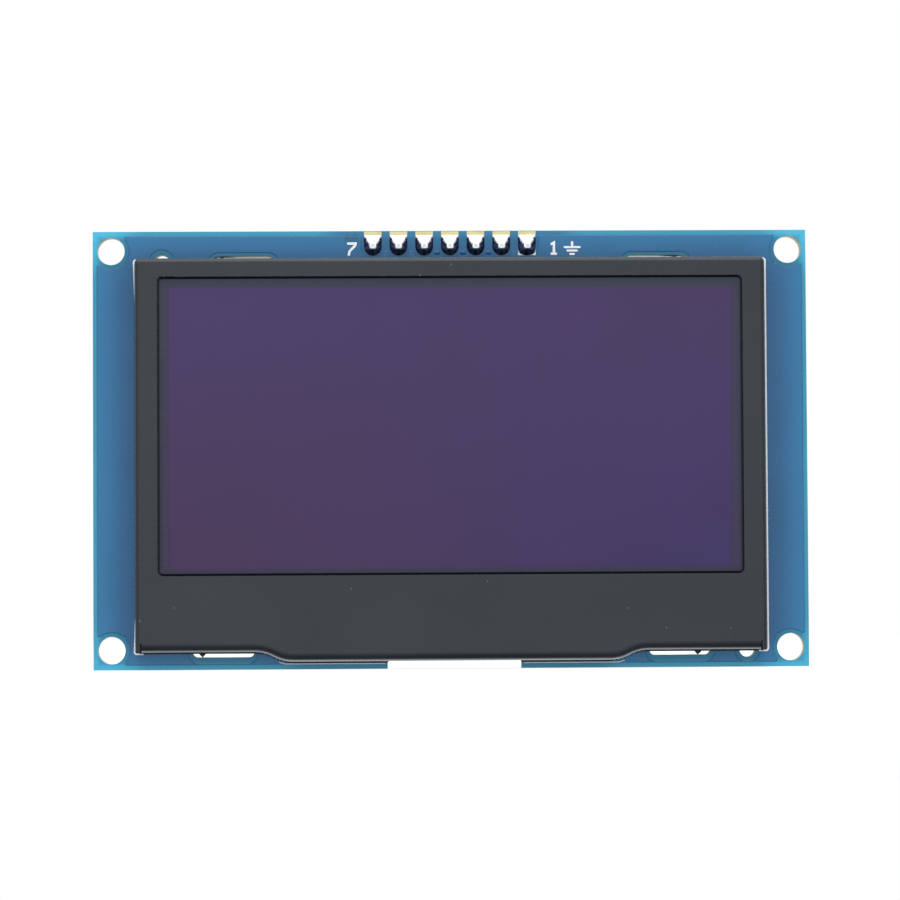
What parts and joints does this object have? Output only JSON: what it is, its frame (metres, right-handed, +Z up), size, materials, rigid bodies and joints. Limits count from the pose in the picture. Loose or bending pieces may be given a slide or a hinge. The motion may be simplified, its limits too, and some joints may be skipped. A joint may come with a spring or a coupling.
{
  "type": "small oled module",
  "caption": "Flat glass display panel under a dark pressed bezel with a rectangular window, on a blue circuit board with corner holes and a pin header.",
  "frame": {"origin": "middle of the four mounting holes, on the board's front face", "axes": "+X right as seen from the front, +Y from front to back through the board, +Z up to the header edge"},
  "size_m": [0.0706, 0.0133, 0.0432],
  "materials": {
    "board_mask": "glossy blue solder mask over copper and glass laminate",
    "bare_lands": "thin pale gold plating, satin",
    "bezel_paint": "satin dark grey paint on pressed steel",
    "polarizer_film": "glossy dark film, violet over the dots",
    "panel_glass": "clear polished glass",
    "dot_layer": "violet grey layer of dots",
    "seal_glue": "cured glue",
    "drying_paper": "matt white sheet",
    "bare_silicon": "polished silicon",
    "foam_tape": "matt white foam",
    "flex_film": "amber polyimide film over copper tracks",
    "solder": "bright tin solder",
    "black_plastic": "black moulded nylon",
    "gilt_pin": "thin gold plating",
    "chip_moulding": "black moulding compound, fine matt",
    "tinned_lead": "matt tin plating",
    "ferrite": "matt dark grey sintered ferrite",
    "enamelled_copper": "clear enamel over copper wire",
    "resistor_body": "black glaze between tinned ends",
    "capacitor_body": "tan ceramic between tinned ends"
  },
  "bodies": {
    "root": {"board": "board_mask", "header_lands": "bare_lands", "part_lands": "bare_lands", "contact_lands": "bare_lands", "bezel": "bezel_paint", "polarizer": "polarizer_film", "front_glass": "panel_glass", "rear_glass": "panel_glass", "dot_matrix": "dot_layer", "seal_frame": "seal_glue", "drying_sheet": "drying_paper", "driver_chip": "bare_silicon", "tape_left": "foam_tape", "tape_right": "foam_tape", "flex_tail": "flex_film", "flex_solder": "solder", "header_strip": "black_plastic", "boost_converter": "chip_moulding", "boost_converter_leads": "tinned_lead", "inductor_core": "ferrite", "inductor_winding": "enamelled_copper", "inductor_terminals": "tinned_lead", "rectifier": "chip_moulding", "rectifier_leads": "tinned_lead", "regulator": "chip_moulding", "regulator_leads": "tinned_lead", "part_solder": "solder", "header_pin_1": "gilt_pin", "header_pin_2": "gilt_pin", "header_pin_3": "gilt_pin", "header_pin_4": "gilt_pin", "header_pin_5": "gilt_pin", "header_pin_6": "gilt_pin", "header_pin_7": "gilt_pin", "header_joint_1": "solder", "header_joint_2": "solder", "header_joint_3": "solder", "header_joint_4": "solder", "header_joint_5": "solder", "header_joint_6": "solder", "header_joint_7": "solder", "resistor_1": "resistor_body", "resistor_2": "resistor_body", "resistor_3": "resistor_body", "resistor_4": "resistor_body", "resistor_5": "resistor_body", "resistor_6": "resistor_body", "resistor_7": "resistor_body", "resistor_8": "resistor_body", "capacitor_1": "capacitor_body", "capacitor_2": "capacitor_body", "capacitor_3": "capacitor_body", "capacitor_4": "capacitor_body", "capacitor_5": "capacitor_body", "capacitor_6": "capacitor_body"}
  },
  "joints": []
}
